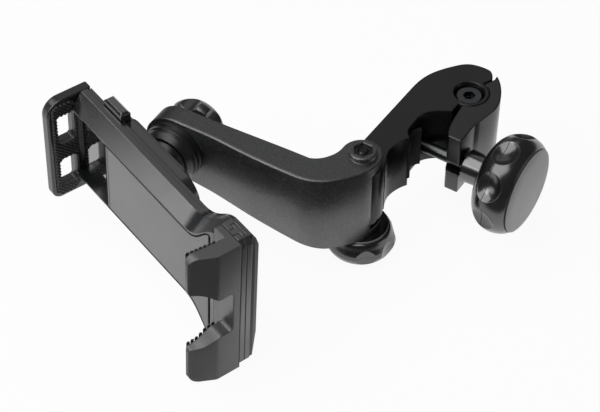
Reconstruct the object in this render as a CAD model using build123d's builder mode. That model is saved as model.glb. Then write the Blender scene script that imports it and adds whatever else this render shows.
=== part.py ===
from build123d import *
import os
from math import sin, cos, radians, sqrt, hypot, atan2, acos

os.makedirs("parts", exist_ok=True)

# Headrest tablet mount, millimetres.
# Origin: axis of the headrest post at the middle of the clamp's height, Z up the post.
# X runs along the clamp body from the arm's hinge to the jaw's hinge, Y to the clamp's back.

# clamp
post_dia = 13.0            # headrest post that the clamp holds
post_gap = 0.10            # radial gap between post and liner
liner_thick = 1.0          # rubber liner on the post seat
liner_half = 11.0          # half height of the liner
clamp_height = 31.0        # clamp body, bottom to top
back_y = 20.9              # flat back of the clamp body
arm_hinge_x = -32.4        # arm hinge, from the post axis
arm_hinge_y = 13.6
knuckle_r = 10.0           # clamp knuckle round the arm hinge
jaw_hinge_x = 36.2         # jaw hinge, from the post axis
jaw_hinge_y = -3.7
jaw_knuckle_r = 9.4        # knuckles round the jaw hinge
shoulder_r = 19.4          # clamp body's round end about the jaw hinge
swing_gap = 0.4            # radial gap between a knuckle and what turns round it
knuckle_gap = 0.2          # flat gap between knuckles
jaw_knuckle_height = 11.6  # the jaw's middle knuckle
jaw_drop = 2.5             # the jaw reaches this far below the clamp body
jaw_tip_x = 4.4            # free end of the jaw
jaw_face_y = -17.2         # face of the jaw that the sleeve presses
fork_slot = 6.8            # height of the slot that the stud passes
fork_slot_end = 16.4       # closed end of that slot
pin_dia = 6.0              # jaw hinge screw's shank
pin_gap = 0.05             # radial running gap of the jaw on the screw
screw_head_r = 6.5
screw_head_height = 4.6
head_recess_r = 7.6
head_recess_depth = 6.4
hinge_nut_af = 10.0        # nut under the jaw hinge, across flats
hinge_nut_height = 5.0

# stud, sleeve and large knob
stud_dia = 6.0
stud_x = 10.5
stud_z = -4.0
stud_root = 6.0            # length of stud held in the clamp body
knob_travel_in = 3.4       # the knob travels this far towards the jaw
stud_end_gap = 0.7         # then left between the stud and the cap
sleeve_r = 8.2
sleeve_nose = 30.0         # radius of the sleeve's domed nose
sleeve_gap = 0.6           # nose to jaw face at rest
sleeve_length = 10.7
knob_r = 24.4
knob_length = 21.3         # back of the knob to the cap's seam
knob_cap_r = 21.2
knob_cap_rise = 3.2
knob_lobes = 8
scallop_r = 13.0
scallop_depth = 3.3
thread_gap = 0.15          # radial gap of a threaded insert on its stud
insert_r = 5.5

# arm
arm_angle = 92.5           # the arm's direction from the hinge, about Z
fork_top = 4.8             # upper plate over the knuckle
arm_end_r = 17.0           # round end at the ball, seen from the side
ball_reach = 86.5          # ball axis from the hinge, along the arm
arm_near = 28.15           # outer side at the bend, from the hinge line
arm_near_end = 25.6        # outer side at the ball end
arm_far = 14.2             # inner side at the bend
arm_far_end = 15.4         # inner side at the ball end
arm_eye_r = 10.0           # round end over the hinge
fork_bottom = 4.0          # lower plate
spacer_height = 4.45       # spacer between the knuckle and the lower plate
spacer_r = 8.2
spacer_gap = 0.05
slot_gap = 0.5             # knuckle to the arm's web
bolt_dia = 5.0
bolt_gap = 0.05
bolt_proud = 0.4           # bolt above its nut
nut_af = 8.0
nut_height = 4.0
nut_gap = 0.1
nut_sink = 0.9             # nut below the boss
boss_r = 6.6
boss_height = 3.0

# small knobs
small_knob_r = 14.8
small_knob_height = 11.5
small_knob_hub_r = 9.0
small_knob_hub = 1.8
small_knob_lobes = 6
small_scallop_r = 8.0
small_scallop_depth = 2.6
fork_knob_r = 17.1           # knob under the fork
fork_knob_height = 13.2
fork_knob_neck = 13.2
fork_knob_lobes = 8
fork_knob_turn = 3.65
fork_scallop_r = 16.0
fork_scallop_depth = 1.7

# ball joint
ball_r = 11.4
ball_out = 32.5            # ball centre from the hinge line, square to the arm
ball_gap = 0.1             # radial gap of the ball in its socket
pocket_gap = 0.4           # radial gap of the ball in the arm's pocket
collar_r = 15.0
collar_length = 5.3
ring_r = 14.5
ring_length = 4.3
pad_r = 4.0                # brake pad behind the ball
lock_bolt_dia = 6.0
neck_r = 6.0
swivel_r = 15.0            # round foot of the neck on the cradle's back
swivel_thick = 1.6
swivel_gap = 0.35          # radial gap of the foot in its pocket

# cradle, u along its length, v up, n towards the tablet, from the ball's centre
cradle_yaw = -21.8         # of n from the socket's axis
cradle_pitch = 0.9
cradle_roll = -2.6
back_n = 14.25             # back of the rear shell
side_n = 19.5             # foot of the rear shell's upright sides
split_n = 21.4             # rear shell to front frame
edge_n = 24.75             # front frame's outer edge
front_n = 30.75            # front of the panel
hub_n = 12.5               # back of the stepped boss round the swivel
hub_lip = 1.1              # its raised middle
hub_step = 3.2
hub_u0 = -13.5
hub_u1 = 39.5
hub_v = 25.6               # half width
hub_corner = 9.0
ledge_v = 1.3              # ledge under the boss stands out by this much
hook_base_n = 26.85        # underside of the hook piece
left_u = -34.2             # frame's left end
shell_u = -24.0            # rear shell's left end
flare_u = 56.0             # where the sides start to flare
hook_u = 80.0              # where the hook piece starts
end_u = 94.9               # outer end of the cradle
half_v = 29.0              # half width of the slim part
slope_v = 10.0             # rear shell's sides lean in by this much
shoulder_v = 21.5          # half width of the flat front
end_v = 41.5               # half width of the hook end
panel_u = -5.7             # left edge of the soft panel
panel_end_u = 76.2
panel_v = 20.6
panel_end_v = 33.0
panel_thick = 1.8
panel_gap = 0.15
slot_width = 1.2           # dark slot beside the panel
slot_depth = 3.5
tongue_v = 20.6            # sliding jaw's tongue, half width
tongue_n = 26.15           # front face of the tongue
tongue_thick = 3.0
tongue_gap = 0.2
tongue_end_u = 65.0
channel_end_u = 67.0

# sliding jaw
jaw_u = -34.7              # inner face of the sliding jaw
jaw_thick = 5.8
jaw_top_v = 28.2
jaw_low_v = 34.0
jaw_back_n = 19.2
jaw_front_n = 43.4
jaw_corner = 8.5           # rounding of the upper front corner
jaw_low_corner = 5.0
jaw_back_round = 1.6       # rounding of the edges away from the tablet
jaw_rim_round = 0.9        # and of the rim round the grip pad
grip_depth = 1.8           # pocket for the grip pad
grip_rim = 2.0
grip_gap = 0.1
grip_proud = 0.3
window_width = 18.4        # along v
window_height = 9.4
window_v = 14.0            # from the middle of the bar between them to each window's middle
window_mid_v = -4.2
window_n = 34.0
window_corner = 1.6

# hooks
wall_u = 87.3              # inner face of the end wall
hook_tip_n = 50.6
hook_knee_n = 39.2         # where the hook's outer side starts to lean in
knee_round = 4.0
inner_knee_n = 35.5        # and its inner side
hook_lean = 5.2            # outer side leans in towards the tip
hook_seam = 0.2            # gap between the hook piece and the frame
tab_u = 86.8               # T tabs that tie the hook piece into the frame
tab_head = 7.9
tab_neck = 3.3
tab_head_n0 = 22.2
tab_head_n1 = 24.0
tab_depth = 1.2
tab_gap = 0.15
hook_inner_lean = 1.3
hook_gap_wall = 12.5       # half gap between the hooks at the wall
hook_gap_tip = 18.5
hook_pad_thick = 1.2

# release button
button_u0 = -20.7
button_u1 = -6.7
button_n0 = 15.6
button_n1 = 21.0
button_rise = 3.8
button_travel = 1.6
button_gap = 0.25
button_root = 5.0
button_bevel = 1.1

# frames of the arm, the socket and the cradle
up = Vector(0, 0, 1)
post_r = post_dia / 2
seat_r = post_r + post_gap + liner_thick
half_h = clamp_height / 2
arm_top = half_h + knuckle_gap + fork_top
arm_depth_hinge = arm_top + half_h + spacer_gap + spacer_height + fork_bottom
sleeve_back = jaw_face_y - sleeve_gap - sleeve_length
knob_back = sleeve_back - knuckle_gap
knob_seam = knob_back - knob_length
stud_end_y = knob_seam + knob_travel_in + stud_end_gap
jaw_bottom = -half_h - jaw_drop
arm_dir = Vector(cos(radians(arm_angle)), sin(radians(arm_angle)), 0)
arm_out = Vector(-sin(radians(arm_angle)), cos(radians(arm_angle)), 0)
arm_hinge = Vector(arm_hinge_x, arm_hinge_y, 0)
ball_z = arm_top - arm_end_r
socket_foot = arm_hinge + arm_dir * ball_reach + up * ball_z
ball_centre = socket_foot + arm_out * ball_out

face_angle = radians(arm_angle + 90 + cradle_yaw)
tilt = radians(cradle_pitch)
roll = radians(cradle_roll)
n_dir = Vector(cos(tilt) * cos(face_angle), cos(tilt) * sin(face_angle), sin(tilt))
level = Vector(-sin(face_angle), cos(face_angle), 0)
rise = n_dir.cross(level)
u_dir = level * cos(roll) + rise * sin(roll)
v_dir = n_dir.cross(u_dir)

arm_plan = Plane(origin=arm_hinge + up * arm_top, x_dir=arm_dir, z_dir=up)
arm_side = Plane(origin=arm_hinge + up * arm_top, x_dir=arm_dir, z_dir=arm_out * -1)
socket = Plane(origin=socket_foot, x_dir=arm_dir, z_dir=arm_out)
socket_cut = Plane(origin=socket_foot, x_dir=arm_dir, z_dir=up)
socket_axis = Axis(socket_foot, arm_out)
hinge_plan = Plane(origin=arm_hinge, x_dir=(1, 0, 0), z_dir=up)
hinge_cut = Plane(origin=arm_hinge, x_dir=(1, 0, 0), z_dir=(0, -1, 0))
hinge_axis = Axis(arm_hinge, up)
jaw_hinge = Plane(origin=(jaw_hinge_x, jaw_hinge_y, 0), x_dir=(1, 0, 0), z_dir=up)
stud_cut = Plane(origin=(stud_x, 0, stud_z), x_dir=(1, 0, 0), z_dir=up)
stud_face = Plane(origin=(stud_x, seat_r + stud_root, stud_z), x_dir=(1, 0, 0), z_dir=(0, -1, 0))
stud_axis = Axis((stud_x, 0, stud_z), (0, 1, 0))
cradle = Plane(origin=ball_centre, x_dir=u_dir, z_dir=n_dir)
cradle_section = Plane(origin=ball_centre, x_dir=u_dir, z_dir=v_dir * -1)
cradle_end = Plane(origin=ball_centre, x_dir=v_dir, z_dir=u_dir)

# Clamp body: one moulding with two post hollows, a knuckle for the arm and a round end
# with two knuckles for the jaw.
hx, hy = jaw_hinge_x, jaw_hinge_y
end_x = hx + shoulder_r
cusp = (-6.9, 4.0)
seat_start = (-seat_r * sin(radians(58)), seat_r * cos(radians(58)))
seat_mid = (-seat_r * sin(radians(25)), seat_r * cos(radians(25)))
with BuildPart() as clamp_body:
    with BuildSketch(Plane.XY.offset(-half_h)):
        with BuildLine():
            Line((arm_hinge_x, back_y), (24.6, back_y))
            Spline((24.6, back_y), (37.1, 18.9), (49.1, 11.7), (end_x, -3.2),
                   tangents=[(1, -0.02), (-0.05, -1)])
            Spline((end_x, -3.2), (54.2, -6.0), (50.6, -8.3), tangents=[(-0.05, -1), (-0.9, -0.35)])
            Line((50.6, -8.3), (hx + 8.0, hy - 1.6))
            Line((hx + 8.0, hy - 1.6), (hx - 8.0, hy + 0.3))
            Line((hx - 8.0, hy + 0.3), (20.4, -3.3))
            Spline((20.4, -3.3), (17.2, 1.6), (12.0, 6.6), (0, seat_r), tangents=[(-0.6, 1), (-1, 0)])
            ThreePointArc((0, seat_r), seat_mid, seat_start)
            Line(seat_start, cusp)
            Spline(cusp, (-11.6, 6.3), (-19.0, 7.4), (-26.5, 4.8), tangents=[(-1, 0.7), (-1, -0.5)])
            Line((-26.5, 4.8), (arm_hinge_x, arm_hinge_y - 6.0))
            Line((arm_hinge_x, arm_hinge_y - 6.0), (arm_hinge_x, back_y))
        make_face()
    extrude(amount=clamp_height)
    with BuildSketch(hinge_plan.offset(-half_h)):
        Circle(knuckle_r)
    extrude(amount=clamp_height)
    with BuildSketch(jaw_hinge.offset(-half_h)):
        Circle(jaw_knuckle_r)
    extrude(amount=clamp_height)
    # room for the jaw's middle knuckle
    with BuildSketch(jaw_hinge.offset(-jaw_knuckle_height / 2 - knuckle_gap)):
        Circle(jaw_knuckle_r + swing_gap)
    extrude(amount=jaw_knuckle_height + 2 * knuckle_gap, mode=Mode.SUBTRACT)
    # hinge screw: bore, head recess above, hexagonal nut pocket below
    with Locations(jaw_hinge.offset(half_h)):
        CounterBoreHole(pin_dia / 2, head_recess_r, head_recess_depth)
    with BuildSketch(jaw_hinge.offset(-half_h)):
        RegularPolygon(hinge_nut_af / 2 + nut_gap, 6, major_radius=False)
    extrude(amount=hinge_nut_height + 0.4, mode=Mode.SUBTRACT)
    # arm hinge bore and the stud's root
    with Locations(hinge_plan.offset(half_h)):
        Hole(bolt_dia / 2 + bolt_gap)
    with BuildSketch(stud_face):
        Circle(stud_dia / 2)
    extrude(amount=stud_root + 6, mode=Mode.SUBTRACT)
clamp_body.part.label = "clamp_body"

with BuildPart() as post_liner:
    with BuildSketch(Plane.XY.offset(-liner_half)):
        with BuildLine():
            inner = CenterArc((0, 0), post_r + post_gap, 38, 112)
            outer = CenterArc((0, 0), seat_r + 0.9, 38, 112)
            Line(inner @ 0, outer @ 0)
            Line(inner @ 1, outer @ 1)
        make_face()
    extrude(amount=2 * liner_half)
    add(clamp_body.part, mode=Mode.SUBTRACT)
post_liner.part.label = "post_liner"

with BuildPart() as clamp_stud:
    with BuildSketch(stud_face):
        Circle(stud_dia / 2)
    extrude(amount=seat_r + stud_root - stud_end_y)
    chamfer(clamp_stud.faces().sort_by(Axis.Y)[0].edges(), 0.6)
clamp_stud.part.label = "clamp_stud"

with BuildPart() as jaw_hinge_screw:
    with BuildSketch(jaw_hinge.offset(half_h - head_recess_depth)):
        Circle(screw_head_r)
    extrude(amount=screw_head_height)
    chamfer(jaw_hinge_screw.faces().sort_by(Axis.Z)[-1].edges(), 0.6)
    with BuildSketch(jaw_hinge.offset(half_h - head_recess_depth + screw_head_height)):
        RegularPolygon(pin_dia / 2 - 0.4, 6, major_radius=False)
    extrude(amount=-3.0, mode=Mode.SUBTRACT)
    with BuildSketch(jaw_hinge.offset(half_h - head_recess_depth)):
        Circle(pin_dia / 2)
    extrude(amount=-(clamp_height - head_recess_depth - 0.8))
jaw_hinge_screw.part.label = "jaw_hinge_screw"

with BuildPart() as jaw_hinge_nut:
    with BuildSketch(jaw_hinge.offset(-half_h + 0.4)):
        RegularPolygon(hinge_nut_af / 2, 6, major_radius=False)
        Circle(pin_dia / 2, mode=Mode.SUBTRACT)
    extrude(amount=hinge_nut_height)
jaw_hinge_nut.part.label = "jaw_hinge_nut"

# Clamp jaw: curved finger, forked at its free end, with one knuckle between the body's two.
jaw_height = half_h - jaw_bottom
with BuildPart() as clamp_jaw:
    with BuildSketch(Plane.XY.offset(jaw_bottom)):
        with BuildLine():
            Line((hx - 9.0, hy - 1.6), (hx + 9.0, hy - 3.3))
            Line((hx + 9.0, hy - 3.3), (50.9, -9.4))
            Line((50.9, -9.4), (53.6, -9.2))
            Spline((53.6, -9.2), (48.3, -14.2), (35.0, -19.8), (20.8, -18.0),
                   tangents=[(-0.6, -0.8), (-1, 0.16)])
            Line((20.8, -18.0), (stud_x + 7.0, jaw_face_y))
            Line((stud_x + 7.0, jaw_face_y), (jaw_tip_x, jaw_face_y))
            Line((jaw_tip_x, jaw_face_y), (jaw_tip_x, -10.6))
            Line((jaw_tip_x, -10.6), (jaw_tip_x + 1.9, -9.3))
            Spline((jaw_tip_x + 1.9, -9.3), (13.9, -7.1), (hx - 9.0, hy - 1.6), tangents=[(1, 0.45), (1, 0.15)])
        make_face()
    extrude(amount=jaw_height)
    with BuildSketch(jaw_hinge.offset(jaw_bottom)):
        Circle(jaw_knuckle_r + swing_gap)
    extrude(amount=jaw_height, mode=Mode.SUBTRACT)
    with BuildSketch(Plane.XY.offset(-jaw_knuckle_height / 2)):
        with Locations((hx, hy)):
            Circle(jaw_knuckle_r)
        with Locations((hx, hy - jaw_knuckle_r)):
            Rectangle(11.0, 6.0)
    extrude(amount=jaw_knuckle_height)
    with Locations(jaw_hinge.offset(half_h)):
        Hole(pin_dia / 2 + pin_gap)
    # the fork: a level slot open at the jaw's tip
    with BuildSketch(Plane.XY.offset(stud_z - fork_slot / 2)):
        with BuildLine():
            Polyline((jaw_tip_x - 4, 0), (fork_slot_end, 0), (fork_slot_end, -24),
                     (jaw_tip_x - 4, -24), close=True)
        make_face()
    extrude(amount=fork_slot, mode=Mode.SUBTRACT)
clamp_jaw.part.label = "clamp_jaw"

# Thrust sleeve and large knob, turned about the stud.
nose_y = jaw_face_y - sleeve_gap
nose_sag = sleeve_nose - sqrt(sleeve_nose ** 2 - sleeve_r ** 2)
bore_r = stud_dia / 2 + thread_gap
bore_sag = sleeve_nose - sqrt(sleeve_nose ** 2 - bore_r ** 2)
with BuildPart() as thrust_sleeve:
    with BuildSketch(stud_cut):
        with BuildLine():
            RadiusArc((bore_r, nose_y - bore_sag), (sleeve_r, nose_y - nose_sag), sleeve_nose)
            Polyline((sleeve_r, nose_y - nose_sag), (sleeve_r - 0.5, sleeve_back), (bore_r, sleeve_back),
                     (bore_r, nose_y - bore_sag))
        make_face()
    revolve(axis=stud_axis)
thrust_sleeve.part.label = "thrust_sleeve"

with BuildPart() as clamp_knob:
    with BuildSketch(stud_cut):
        with BuildLine():
            Line((insert_r, knob_back), (sleeve_r + 1.4, knob_back))
            Spline((sleeve_r + 1.4, knob_back), (knob_r - 3.2, knob_back - 4.6),
                   (knob_r, knob_back - knob_length / 2), (knob_r - 0.9, knob_seam + 3.2),
                   (knob_cap_r + 0.15, knob_seam), tangents=[(1, -0.1), (-0.7, -0.7)])
            Polyline((knob_cap_r + 0.15, knob_seam), (insert_r, knob_seam), (insert_r, knob_back))
        make_face()
    revolve(axis=stud_axis)
    with Locations(Plane(origin=(stud_x, knob_back - knob_length * 0.45, stud_z), x_dir=(1, 0, 0), z_dir=(0, -1, 0))):
        with PolarLocations(knob_r + scallop_r - scallop_depth, knob_lobes, start_angle=12):
            Sphere(scallop_r, mode=Mode.SUBTRACT)
clamp_knob.part.label = "clamp_knob"

with BuildPart() as clamp_knob_cap:
    with BuildSketch(stud_cut):
        with BuildLine():
            Line((0, knob_seam - 0.05), (knob_cap_r, knob_seam - 0.05))
            Line((knob_cap_r, knob_seam - 0.05), (knob_cap_r - 0.15, knob_seam - 0.8))
            Spline((knob_cap_r - 0.15, knob_seam - 0.8), (knob_cap_r * 0.62, knob_seam - knob_cap_rise * 0.78),
                   (0, knob_seam - knob_cap_rise), tangents=[(-0.8, -0.6), (-1, 0)])
            Line((0, knob_seam - knob_cap_rise), (0, knob_seam - 0.05))
        make_face()
    revolve(axis=stud_axis)
clamp_knob_cap.part.label = "clamp_knob_cap"

with BuildPart() as clamp_knob_insert:
    with BuildSketch(stud_cut):
        with Locations(((insert_r + bore_r) / 2, knob_back - (knob_length - 2) / 2)):
            Rectangle(insert_r - bore_r, knob_length - 2)
    revolve(axis=stud_axis)
clamp_knob_insert.part.label = "clamp_knob_insert"

# Arm: a bent bar, forked over the clamp's knuckle, with a ball pocket at its round end.
arm_len = ball_reach + arm_end_r
slot_top = half_h + knuckle_gap - arm_top
slot_bottom = fork_bottom - arm_depth_hinge
under_x = 6.0
fall = arm_depth_hinge - arm_end_r
reach = ball_reach - under_x
under_turn = atan2(-fall, -reach) + acos(arm_end_r / hypot(reach, fall))
under_end = (ball_reach + arm_end_r * cos(under_turn), -arm_end_r + arm_end_r * sin(under_turn))
with BuildPart() as arm:
    with BuildSketch(arm_plan):
        with BuildLine():
            Line((arm_len + 2, arm_near_end), (70, arm_near_end))
            Spline((70, arm_near_end), (49.6, arm_near - 1.05), (20, arm_near), tangents=[(-1, 0.02), (-1, 0)])
            Spline((20, arm_near), (4.4, 22.9), (-5.2, 12.3), (-arm_eye_r + 0.9, 0),
                   tangents=[(-1, 0), (0, -1)])
            ThreePointArc((-arm_eye_r + 0.9, 0), (0.7, -arm_eye_r + 0.2), (arm_eye_r + 0.5, 0))
            Spline((arm_eye_r + 0.5, 0), (11.6, 5.9), (14.6, 10.6), (20, arm_far), tangents=[(0, 1), (0.9, 0.35)])
            Spline((20, arm_far), (79, arm_far_end), tangents=[(1, 0), (1, 0)])
            Line((79, arm_far_end), (arm_len + 2, arm_far_end))
            Line((arm_len + 2, arm_far_end), (arm_len + 2, arm_near_end))
        make_face()
    extrude(amount=-arm_depth_hinge)
    fillet(arm.faces().sort_by(Axis.Z)[-1].edges(), 0.9)
    with BuildSketch(arm_side):
        with BuildLine():
            Line((-20, 0), (ball_reach, 0))
            ThreePointArc((ball_reach, 0), (ball_reach + arm_end_r, -arm_end_r), under_end)
            Polyline(under_end, (under_x, -arm_depth_hinge), (-20, -arm_depth_hinge), (-20, 0))
        make_face()
    extrude(amount=60, both=True, mode=Mode.INTERSECT)
    # boss round the hinge nut
    with BuildSketch(arm_plan):
        Circle(boss_r)
    extrude(amount=boss_height)
    fillet(arm.faces().sort_by(Axis.Z)[-1].edges(), 0.8)
    # slot for the clamp's knuckle, open on the inner side
    with BuildSketch(arm_plan.offset(slot_bottom)):
        Circle(knuckle_r + slot_gap)
        with BuildLine():
            Polyline((0, 0), (10.0, 12.0), (14.5, 13.0), (26, 13.0), (26, -14), (0, -14), close=True)
        make_face()
    extrude(amount=slot_top - slot_bottom, mode=Mode.SUBTRACT)
    with BuildSketch(arm_plan):
        Circle(bolt_dia / 2 + bolt_gap)
    extrude(amount=-arm_depth_hinge - 2, mode=Mode.SUBTRACT)
    with BuildSketch(arm_plan.offset(boss_height)):
        RegularPolygon(nut_af / 2 + nut_gap, 6, major_radius=False)
    extrude(amount=-nut_height, mode=Mode.SUBTRACT)
    # ball end: bore of the lock bolt, seat of the brake pad and pocket of the ball
    with BuildSketch(socket.offset(arm_far_end - 2)):
        Circle(lock_bolt_dia / 2 + bolt_gap)
    extrude(amount=20, mode=Mode.SUBTRACT)
    with BuildSketch(socket.offset(arm_far_end + 2.0)):
        Circle(pad_r + nut_gap)
    extrude(amount=20, mode=Mode.SUBTRACT)
    with BuildSketch(socket_cut):
        with BuildLine():
            CenterArc((0, ball_out), ball_r + pocket_gap, -90, 90)
            Polyline((ball_r + pocket_gap, ball_out), (0, ball_out), (0, ball_out - ball_r - pocket_gap))
        make_face()
    revolve(axis=socket_axis, mode=Mode.SUBTRACT)
arm.part.label = "arm"

with BuildPart() as hinge_nut:
    with BuildSketch(arm_plan.offset(boss_height - nut_sink)):
        RegularPolygon(nut_af / 2, 6, major_radius=False)
        Circle(bolt_dia / 2, mode=Mode.SUBTRACT)
    extrude(amount=nut_sink - nut_height)
hinge_nut.part.label = "hinge_nut"

arm_bottom = arm_top - arm_depth_hinge
small_knob_total = small_knob_hub + small_knob_height
with BuildPart() as hinge_bolt:
    with BuildSketch(arm_plan.offset(boss_height - nut_sink + bolt_proud)):
        Circle(bolt_dia / 2)
    extrude(amount=-(boss_height - nut_sink + bolt_proud + arm_depth_hinge + fork_knob_height - 3.0))
    chamfer(hinge_bolt.faces().sort_by(Axis.Z)[-1].edges(), 0.6)
hinge_bolt.part.label = "hinge_bolt"

with BuildPart() as hinge_spacer:
    with BuildSketch(hinge_plan.offset(-half_h - spacer_gap)):
        Circle(spacer_r)
        Circle(bolt_dia / 2 + bolt_gap, mode=Mode.SUBTRACT)
    extrude(amount=-spacer_height)
hinge_spacer.part.label = "hinge_spacer"

# Small lobed knobs on the arm's hinge bolt and on the ball's lock bolt.
hub_r = bolt_dia / 2 + thread_gap + 1.6
lock_hub_r = lock_bolt_dia / 2 + 1.6
knob_top = arm_bottom - 0.2
with BuildPart() as hinge_knob:
    with BuildSketch(hinge_cut):
        with BuildLine():
            Polyline((hub_r, knob_top), (fork_knob_neck, knob_top), (fork_knob_neck, knob_top - 1.4))
            Spline((fork_knob_neck, knob_top - 1.4), (fork_knob_r - fork_scallop_depth, knob_top - 4.4),
                   (fork_knob_r, knob_top - 8.8), (fork_knob_r - 1.7, knob_top - fork_knob_height),
                   tangents=[(1, -0.25), (-0.75, -1)])
            Polyline((fork_knob_r - 1.7, knob_top - fork_knob_height), (hub_r, knob_top - fork_knob_height),
                     (hub_r, knob_top))
        make_face()
    revolve(axis=hinge_axis)
    with BuildSketch(Plane(origin=arm_hinge + up * (knob_top - 1.0), x_dir=(1, 0, 0), z_dir=(0, 0, -1))):
        with PolarLocations(fork_knob_r + fork_scallop_r - fork_scallop_depth, fork_knob_lobes,
                            start_angle=fork_knob_turn):
            Circle(fork_scallop_r)
    extrude(amount=fork_knob_height, mode=Mode.SUBTRACT)
hinge_knob.part.label = "hinge_knob"

with BuildPart() as hinge_knob_insert:
    with BuildSketch(hinge_plan.offset(knob_top)):
        Circle(hub_r)
        Circle(bolt_dia / 2 + thread_gap, mode=Mode.SUBTRACT)
    extrude(amount=-fork_knob_height)
hinge_knob_insert.part.label = "hinge_knob_insert"

far_y = arm_far_end - 0.2
with BuildPart() as lock_knob:
    with BuildSketch(socket_cut):
        with BuildLine():
            Polyline((lock_hub_r, far_y), (small_knob_hub_r, far_y), (small_knob_hub_r, far_y - small_knob_hub),
                     (small_knob_r - 0.6, far_y - small_knob_hub - 2.6))
            Spline((small_knob_r - 0.6, far_y - small_knob_hub - 2.6), (small_knob_r, far_y - small_knob_hub - 5.0),
                   (small_knob_r - 2.4, far_y - small_knob_total + 1.2),
                   (small_knob_r - 5.0, far_y - small_knob_total), tangents=[(0.5, -1), (-1, -0.1)])
            Polyline((small_knob_r - 5.0, far_y - small_knob_total), (lock_hub_r, far_y - small_knob_total),
                     (lock_hub_r, far_y))
        make_face()
    revolve(axis=socket_axis)
    with BuildSketch(Plane(origin=socket_foot + arm_out * (far_y - small_knob_hub - 1.4), x_dir=arm_dir,
                           z_dir=arm_out * -1)):
        with PolarLocations(small_knob_r + small_scallop_r - small_scallop_depth, small_knob_lobes, start_angle=20):
            Circle(small_scallop_r)
    extrude(amount=small_knob_total, mode=Mode.SUBTRACT)
lock_knob.part.label = "lock_knob"

with BuildPart() as lock_knob_insert:
    with BuildSketch(socket.offset(far_y)):
        Circle(lock_hub_r)
        Circle(lock_bolt_dia / 2 + thread_gap / 2, mode=Mode.SUBTRACT)
    extrude(amount=-small_knob_total)
lock_knob_insert.part.label = "lock_knob_insert"

# Ball joint: brake pad, socket collar and ring in front of the arm, ball and neck.
pad_back = arm_far_end + 2.0
with BuildPart() as lock_bolt:
    with BuildSketch(socket.offset(pad_back)):
        Circle(lock_bolt_dia / 2)
    extrude(amount=-(pad_back - far_y + small_knob_total - 2.0))
lock_bolt.part.label = "lock_bolt"

seat_ball_r = ball_r + ball_gap
pad_edge = (pad_r, ball_out - sqrt(seat_ball_r ** 2 - pad_r ** 2))
with BuildPart() as brake_pad:
    with BuildSketch(socket_cut):
        with BuildLine():
            Polyline((0, ball_out - seat_ball_r), (0, pad_back), (pad_r, pad_back), pad_edge)
            RadiusArc(pad_edge, (0, ball_out - seat_ball_r), seat_ball_r)
        make_face()
    revolve(axis=socket_axis)
brake_pad.part.label = "brake_pad"

ring_foot = arm_near_end + collar_length
ring_top = ring_foot + ring_length
collar_in = (sqrt(seat_ball_r ** 2 - (ball_out - arm_near_end) ** 2), arm_near_end)
ring_in = (sqrt(seat_ball_r ** 2 - (ball_out - ring_foot) ** 2), ring_foot)
ring_lip = (sqrt(seat_ball_r ** 2 - (ball_out - ring_top) ** 2), ring_top)
with BuildPart() as socket_collar:
    with BuildSketch(socket_cut):
        with BuildLine():
            Polyline(collar_in, (collar_r, arm_near_end), (collar_r, arm_near_end + 1.9),
                     (collar_r - 0.7, arm_near_end + 2.2), (collar_r - 0.7, arm_near_end + 2.8),
                     (collar_r, arm_near_end + 3.1), (collar_r, arm_near_end + collar_length - 0.5),
                     (collar_r - 0.5, ring_foot), ring_in)
            RadiusArc(ring_in, collar_in, seat_ball_r)
        make_face()
    revolve(axis=socket_axis)
socket_collar.part.label = "socket_collar"

with BuildPart() as socket_ring:
    with BuildSketch(socket_cut):
        with BuildLine():
            Polyline(ring_in, (ring_r, ring_foot), (ring_r - 0.4, ring_foot + 1.6),
                     (ring_r - 2.0, ring_top), ring_lip)
            RadiusArc(ring_lip, ring_in, seat_ball_r)
        make_face()
    revolve(axis=socket_axis)
socket_ring.part.label = "socket_ring"

with BuildPart() as ball:
    with Locations(ball_centre):
        Sphere(ball_r)
ball.part.label = "ball"

neck_edge = (neck_r, sqrt(seat_ball_r ** 2 - neck_r ** 2))
with BuildPart() as ball_neck:
    with BuildSketch(cradle_section):
        with BuildLine():
            Polyline(neck_edge, (neck_r, back_n - 0.1 - swivel_thick), (swivel_r, back_n - 0.1 - swivel_thick),
                     (swivel_r, back_n - 0.1), (0, back_n - 0.1), (0, seat_ball_r))
            RadiusArc((0, seat_ball_r), neck_edge, seat_ball_r)
        make_face()
    revolve(axis=Axis(ball_centre, n_dir))
ball_neck.part.label = "ball_neck"

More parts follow.
